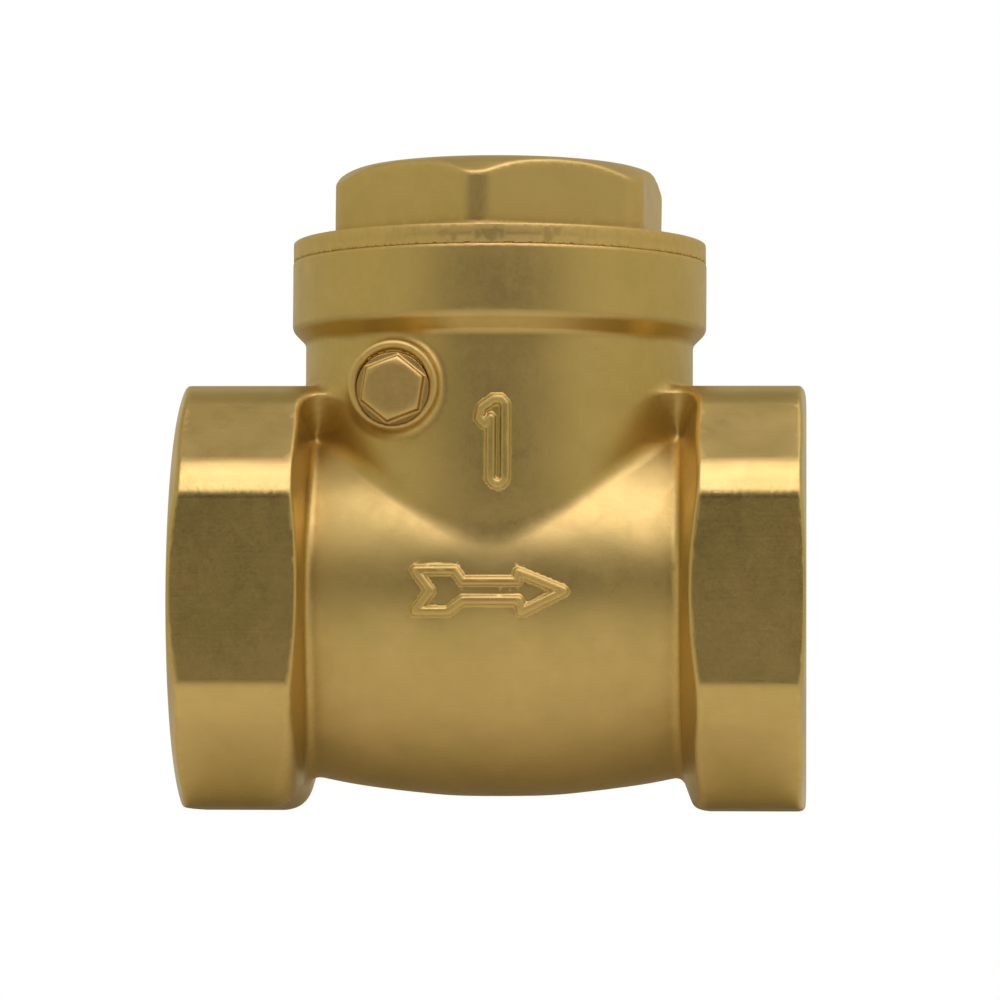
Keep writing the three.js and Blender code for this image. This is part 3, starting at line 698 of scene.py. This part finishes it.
def surface_net(values, low, cell):
    """Points and quads of the surface through a grid of field values."""
    inside = values < 0
    size = [n - 1 for n in values.shape]
    corner = {c: inside[c[0]:c[0] + size[0], c[1]:c[1] + size[1], c[2]:c[2] + size[2]] for c in CORNERS}
    crossed = np.logical_or.reduce(list(corner.values())) & ~np.logical_and.reduce(list(corner.values()))
    cells = np.argwhere(crossed)
    value = {c: values[tuple((cells + c).T)] for c in CORNERS}
    total, count = np.zeros((len(cells), 3)), np.zeros(len(cells))
    for a, b in EDGES:
        change = (value[a] < 0) != (value[b] < 0)
        share = np.where(change, value[a] / np.where(change, value[a] - value[b], 1), 0)
        total += np.where(change[:, None], np.array(a) + share[:, None] * np.subtract(b, a), 0)
        count += change
    points = low + (cells + total / count[:, None]) * cell

    number = np.full(crossed.shape, -1, np.int32)
    number[crossed] = np.arange(len(cells))
    quads = []
    for axis in range(3):
        u, v = (axis + 1) % 3, (axis + 2) % 3
        first = np.moveaxis(inside, axis, 0)[:-1]
        second = np.moveaxis(inside, axis, 0)[1:]
        at = np.argwhere(first != second)
        at = at[(at[:, 1:] > 0).all(1) & (at[:, 1:] < np.array(first.shape[1:]) - 1).all(1)]
        others = [a for a in range(3) if a != axis]
        start = np.empty_like(at)
        start[:, axis], start[:, others[0]], start[:, others[1]] = at.T
        step_u, step_v = np.eye(3, dtype=int)[u], np.eye(3, dtype=int)[v]
        ring = [start, start - step_u, start - step_u - step_v, start - step_v]
        quad = np.stack([number[tuple(r.T)] for r in ring], 1)
        outward = inside[tuple(start.T)]
        quads.append(np.where(outward[:, None], quad, quad[:, ::-1]))
    return points, np.concatenate(quads)


def slope_at(field, points, step=0.02):
    """The field and its gradient at each point."""
    near = [in_chunks(field, points + step * way) for way in TETRA]
    gradient = sum(n[:, None] * way for n, way in zip(near, TETRA)) * (3 / 4 / step)
    return sum(near) / 4, gradient


def settled(field, points, cell, rounds=2):
    """Moves points onto the surface itself."""
    for _ in range(rounds):
        value, gradient = slope_at(field, points)
        step = value[:, None] * gradient / np.maximum((gradient ** 2).sum(1), 0.05)[:, None]
        points = points - np.clip(step, -cell, cell)
    return points


def thinned(mesh, share):
    """The mesh with its flat places in fewer triangles."""
    if share >= 1:
        return mesh
    holder = bpy.data.objects.new("holder", mesh)
    bpy.context.scene.collection.objects.link(holder)
    modifier = holder.modifiers.new("thin", "DECIMATE")
    modifier.ratio = share
    graph = bpy.context.evaluated_depsgraph_get()
    made = bpy.data.meshes.new_from_object(holder.evaluated_get(graph))
    bpy.data.objects.remove(holder)
    return made


def relief(field, points, normals, depth=1.0):
    """How far each point stands on a sharp edge, and how far it lies in a corner; the materials use
    these for a painted highlight on edges and painted shade in corners.
    """
    edge = (in_chunks(field, points - depth * normals) + depth) / depth
    hollow = (depth - in_chunks(field, points + depth * normals)) / depth
    return np.clip(3 * edge, 0, 1), np.clip(3 * hollow, 0, 1)


def unit(vectors):
    return vectors / np.linalg.norm(vectors, axis=1)[:, None]


def corner_normals(field, mesh, points, normals):
    """A normal for each corner of each face, and which points belong to a large face.

    A large face takes its normals from inside itself, so that a rounded edge beside it
    doesn't shade it.
    """
    faces, corners = len(mesh.polygons), len(mesh.loops)
    vertex, count = np.empty(corners, np.int32), np.empty(faces, np.int32)
    area, centre = np.empty(faces), np.empty(faces * 3)
    mesh.loops.foreach_get("vertex_index", vertex)
    mesh.polygons.foreach_get("loop_total", count)
    mesh.polygons.foreach_get("area", area)
    mesh.polygons.foreach_get("center", centre)
    face = np.repeat(np.arange(faces), count)
    large = np.flatnonzero(area[face] > LARGE_FACE)
    middle = centre.reshape(-1, 3)[face[large]]
    inner = middle + INWARD * (points[vertex[large]] - middle)
    flat, bent = unit(slope_at(field, middle)[1]), unit(slope_at(field, inner)[1])
    found = normals[vertex]
    found[large] = unit(flat + (bent - flat) / INWARD)
    beside = np.zeros(len(points), bool)
    beside[vertex[large]] = True
    return found, beside


def everywhere(x, y, z):
    return np.ones_like(x)


def build(node, field, cell, axes=VALVE_AXES, share=1.0, milled=everywhere):
    """A smooth mesh of a field that takes a CAD node's place, with masks for its material."""
    cell = cell * 1
    low, high = box_in(node, axes)
    low, high = low - 2 * cell, high + 2 * cell
    blocks = [int(math.ceil((h - l) / (BLOCK * cell))) for l, h in zip(low, high)]
    points, quads = surface_net(sampled(field, low, cell, blocks), low, cell)
    mesh = bpy.data.meshes.new(node + "_piece")
    mesh.from_pydata(settled(field, points, cell), [], quads)
    mesh = thinned(mesh, share)
    points = np.empty(len(mesh.vertices) * 3)
    mesh.vertices.foreach_get("co", points)
    points = settled(field, points.reshape(-1, 3), cell / 2, 1)
    normals = unit(slope_at(field, points)[1])
    mesh.vertices.foreach_set("co", points.ravel())
    mesh.update()
    split, beside = corner_normals(field, mesh, points, normals)
    edge, hollow = relief(field, points, normals)
    edge[beside] *= FAINTER
    hollow[beside] *= FAINTER
    for label, amount in (("edge", edge), ("hollow", hollow), ("milled", in_chunks(milled, points))):
        mask = mesh.attributes.new(label, "FLOAT", "POINT")
        mask.data.foreach_set("value", amount.astype(np.float32))
    mesh.polygons.foreach_set("use_smooth", np.ones(len(mesh.polygons), bool))
    mesh.update()
    mesh.normals_split_custom_set(split)
    mesh.transform(Matrix.Scale(MM, 4) @ axes)
    mesh.materials.append(MATERIALS[SLOTS[node]])
    piece = bpy.data.objects.new(node + "_piece", mesh)
    bpy.context.scene.collection.objects.link(piece)
    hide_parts(node)
    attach(piece, BODIES[node])


build("body", body_field, 0.25, share=0.3, milled=body_milled)
build("bonnet", bonnet_field, 0.3, share=0.6)
build("bonnet_gasket", gasket_field, 0.2)
build("hinge_pin", pin_field, 0.2)
build("hinge_pin_plug", plug_field, 0.1)
build("plug_washer", plug_washer_field, 0.1)
for part, shape, fineness in (
    ("disc_hanger", hanger_field, 0.25),
    ("disc_holder", holder_field, 0.25),
    ("seat_disc", seat_disc_field, 0.2),
    ("seat_disc_washer", stack_washer(*SEAT_WASHER), 0.15),
    ("seat_disc_nut", stack_nut(SEAT_NUT_FROM), 0.12),
    ("hanger_washer", stack_washer(*HANGER_WASHER), 0.12),
    ("hanger_nut", stack_nut(HANGER_NUT_FROM), 0.12),
):
    build(part, shape, fineness, CLAPPER_AXES)

# ------------------------------------------------------------------ floor, light and camera

scene = bpy.context.scene
TARGET = (ORIGIN + Vector((0.1, 0, 10.1))) * MM
AZIMUTH, ELEVATION, ROLL = math.radians(2.9), math.radians(-3.8), math.radians(0.22)
DISTANCE = 0.6
FRAME_WIDTH = 0.1

KEY_AZIMUTH, KEY_ELEVATION, KEY_DISTANCE = math.radians(18), math.radians(59), 0.5
KEY_WIDTH, KEY_HEIGHT = 0.62, 0.42
KEY_GLOW, KEY_TINT = 1.95, (1.0, 0.95, 1.3)

ROOM_SIDES, ROOM_ABOVE = (0.63, 0.61, 0.52), (0.30, 0.29, 0.25)
DARK_SIDE, DARK_AZIMUTH, DARK_COSINES = (0.01, 0.009, 0.005), math.radians(1.5), (0.68, 0.93)

FLOOR_HALF, FLOOR_DROP = 1.5, 0.05
FLOOR_COLORS = ((0.73, 0.73, 0.72), (0.77, 0.77, 0.76))
# The floor is painted brighter round the object and darker further away: a painted pool of light.
PAINTED_POOL_RADII, PAINTED_POOL_FAR_SHARE = (0.05, 0.115), 0.66
# The floor glows faintly: painted light on the object's underside.
FLOOR_GLOW, FLOOR_GLOW_COLOR = 0.14, (1, 0.95, 0.8, 1)


def direction(azimuth, elevation):
    """The way from the object to a place, at those angles from its front."""
    flat = math.cos(elevation)
    return Vector((math.sin(azimuth) * flat, -math.cos(azimuth) * flat, math.sin(elevation)))


def key_light():
    """A large soft light above the front, set by how bright its face is."""
    way = direction(KEY_AZIMUTH, KEY_ELEVATION)
    lamp = bpy.data.lights.new("key_above_front", "AREA")
    lamp.shape = "RECTANGLE"
    lamp.size, lamp.size_y = KEY_WIDTH, KEY_HEIGHT
    lamp.energy = KEY_GLOW * math.pi * KEY_WIDTH * KEY_HEIGHT
    lamp.color = KEY_TINT
    holder = bpy.data.objects.new("key_above_front", lamp)
    holder.location = TARGET + KEY_DISTANCE * way
    holder.rotation_euler = way.to_track_quat("Z", "Y").to_euler()
    scene.collection.objects.link(holder)


def paper():
    """Pale paper with a painted pool of light round the object and a faint glow, painted light for the
    object's underside; the paper can't be seen from below.
    """
    m = Recipe(bpy.data.materials.new("floor"))
    away = m.node("ShaderNodeVectorMath", {0: m.place}, operation="LENGTH").outputs["Value"]
    # Painted pool of light: full brightness round the object, darker further away.
    near = m.span(away, *PAINTED_POOL_RADII, 1, PAINTED_POOL_FAR_SHARE)
    fibre = m.mix(m.span(m.noise(1.5, 3.0), 0.3, 0.7), *FLOOR_COLORS)
    color = m.node("ShaderNodeVectorMath", {0: fibre, 1: near}, operation="MULTIPLY").outputs[0]
    shader = m.node("ShaderNodeBsdfPrincipled", {
        "Base Color": color, "Roughness": 0.8, "Normal": m.bump(m.noise(0.6), 0.02),
        # The faint glow is painted light, a fill from below for the object.
        "Emission Color": FLOOR_GLOW_COLOR, "Emission Strength": FLOOR_GLOW,
    })
    clear = m.node("ShaderNodeBsdfTransparent")
    below = m.node("ShaderNodeNewGeometry").outputs["Backfacing"]
    side = m.node("ShaderNodeMixShader", {0: below, 1: shader.outputs[0], 2: clear.outputs[0]})
    m.node("ShaderNodeOutputMaterial", {"Surface": side.outputs[0]})
    return m.owner


def floor():
    """A floor that is seen from above only, because the camera looks up from just below it."""
    corners = [(a * FLOOR_HALF, b * FLOOR_HALF, 0) for a, b in ((-1, -1), (1, -1), (1, 1), (-1, 1))]
    mesh = bpy.data.meshes.new("floor")
    mesh.from_pydata(corners, [], [(0, 1, 2, 3)])
    mesh.materials.append(paper())
    holder = bpy.data.objects.new("floor", mesh)
    holder.location.z = -FLOOR_DROP * MM
    scene.collection.objects.link(holder)
    holder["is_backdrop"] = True


def surroundings():
    """White behind the object; for its light, a dim warm room, darker above and dark in front."""
    scene.world = bpy.data.worlds.new("room")
    m = Recipe(scene.world, "Generated")
    ways = {0: m.place, 1: direction(DARK_AZIMUTH, 0)}
    front = m.node("ShaderNodeVectorMath", ways, operation="DOT_PRODUCT").outputs["Value"]
    height = m.node("ShaderNodeSeparateXYZ", {0: m.place}).outputs["Z"]
    color = m.mix(m.span(height, 0.5, 1), ROOM_SIDES, ROOM_ABOVE)
    color = m.mix(m.span(front, *DARK_COSINES), color, DARK_SIDE)
    room = m.node("ShaderNodeBackground", {"Color": color})
    white = m.node("ShaderNodeBackground", {"Color": (1, 1, 1, 1)})
    seen = m.node("ShaderNodeLightPath").outputs["Is Camera Ray"]
    either = m.node("ShaderNodeMixShader", {0: seen, 1: room.outputs[0], 2: white.outputs[0]})
    m.node("ShaderNodeOutputWorld", {"Surface": either.outputs[0]})


def look_through_camera():
    camera = bpy.data.objects.new("camera", bpy.data.cameras.new("camera"))
    scene.collection.objects.link(camera)
    back = direction(AZIMUTH, ELEVATION)
    camera.location = TARGET + DISTANCE * back
    camera.rotation_euler = back.to_track_quat("Z", "Y").to_euler()
    camera.rotation_euler.rotate_axis("Z", ROLL)
    camera.data.lens = camera.data.sensor_width * DISTANCE / FRAME_WIDTH
    scene.camera = camera


key_light()
floor()
surroundings()
look_through_camera()
scene.view_settings.view_transform = "Standard"

sizes = (("cad", CAD_BOX), ("visual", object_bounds()))
boxes = {name: [list(corner) for corner in box] for name, box in sizes}
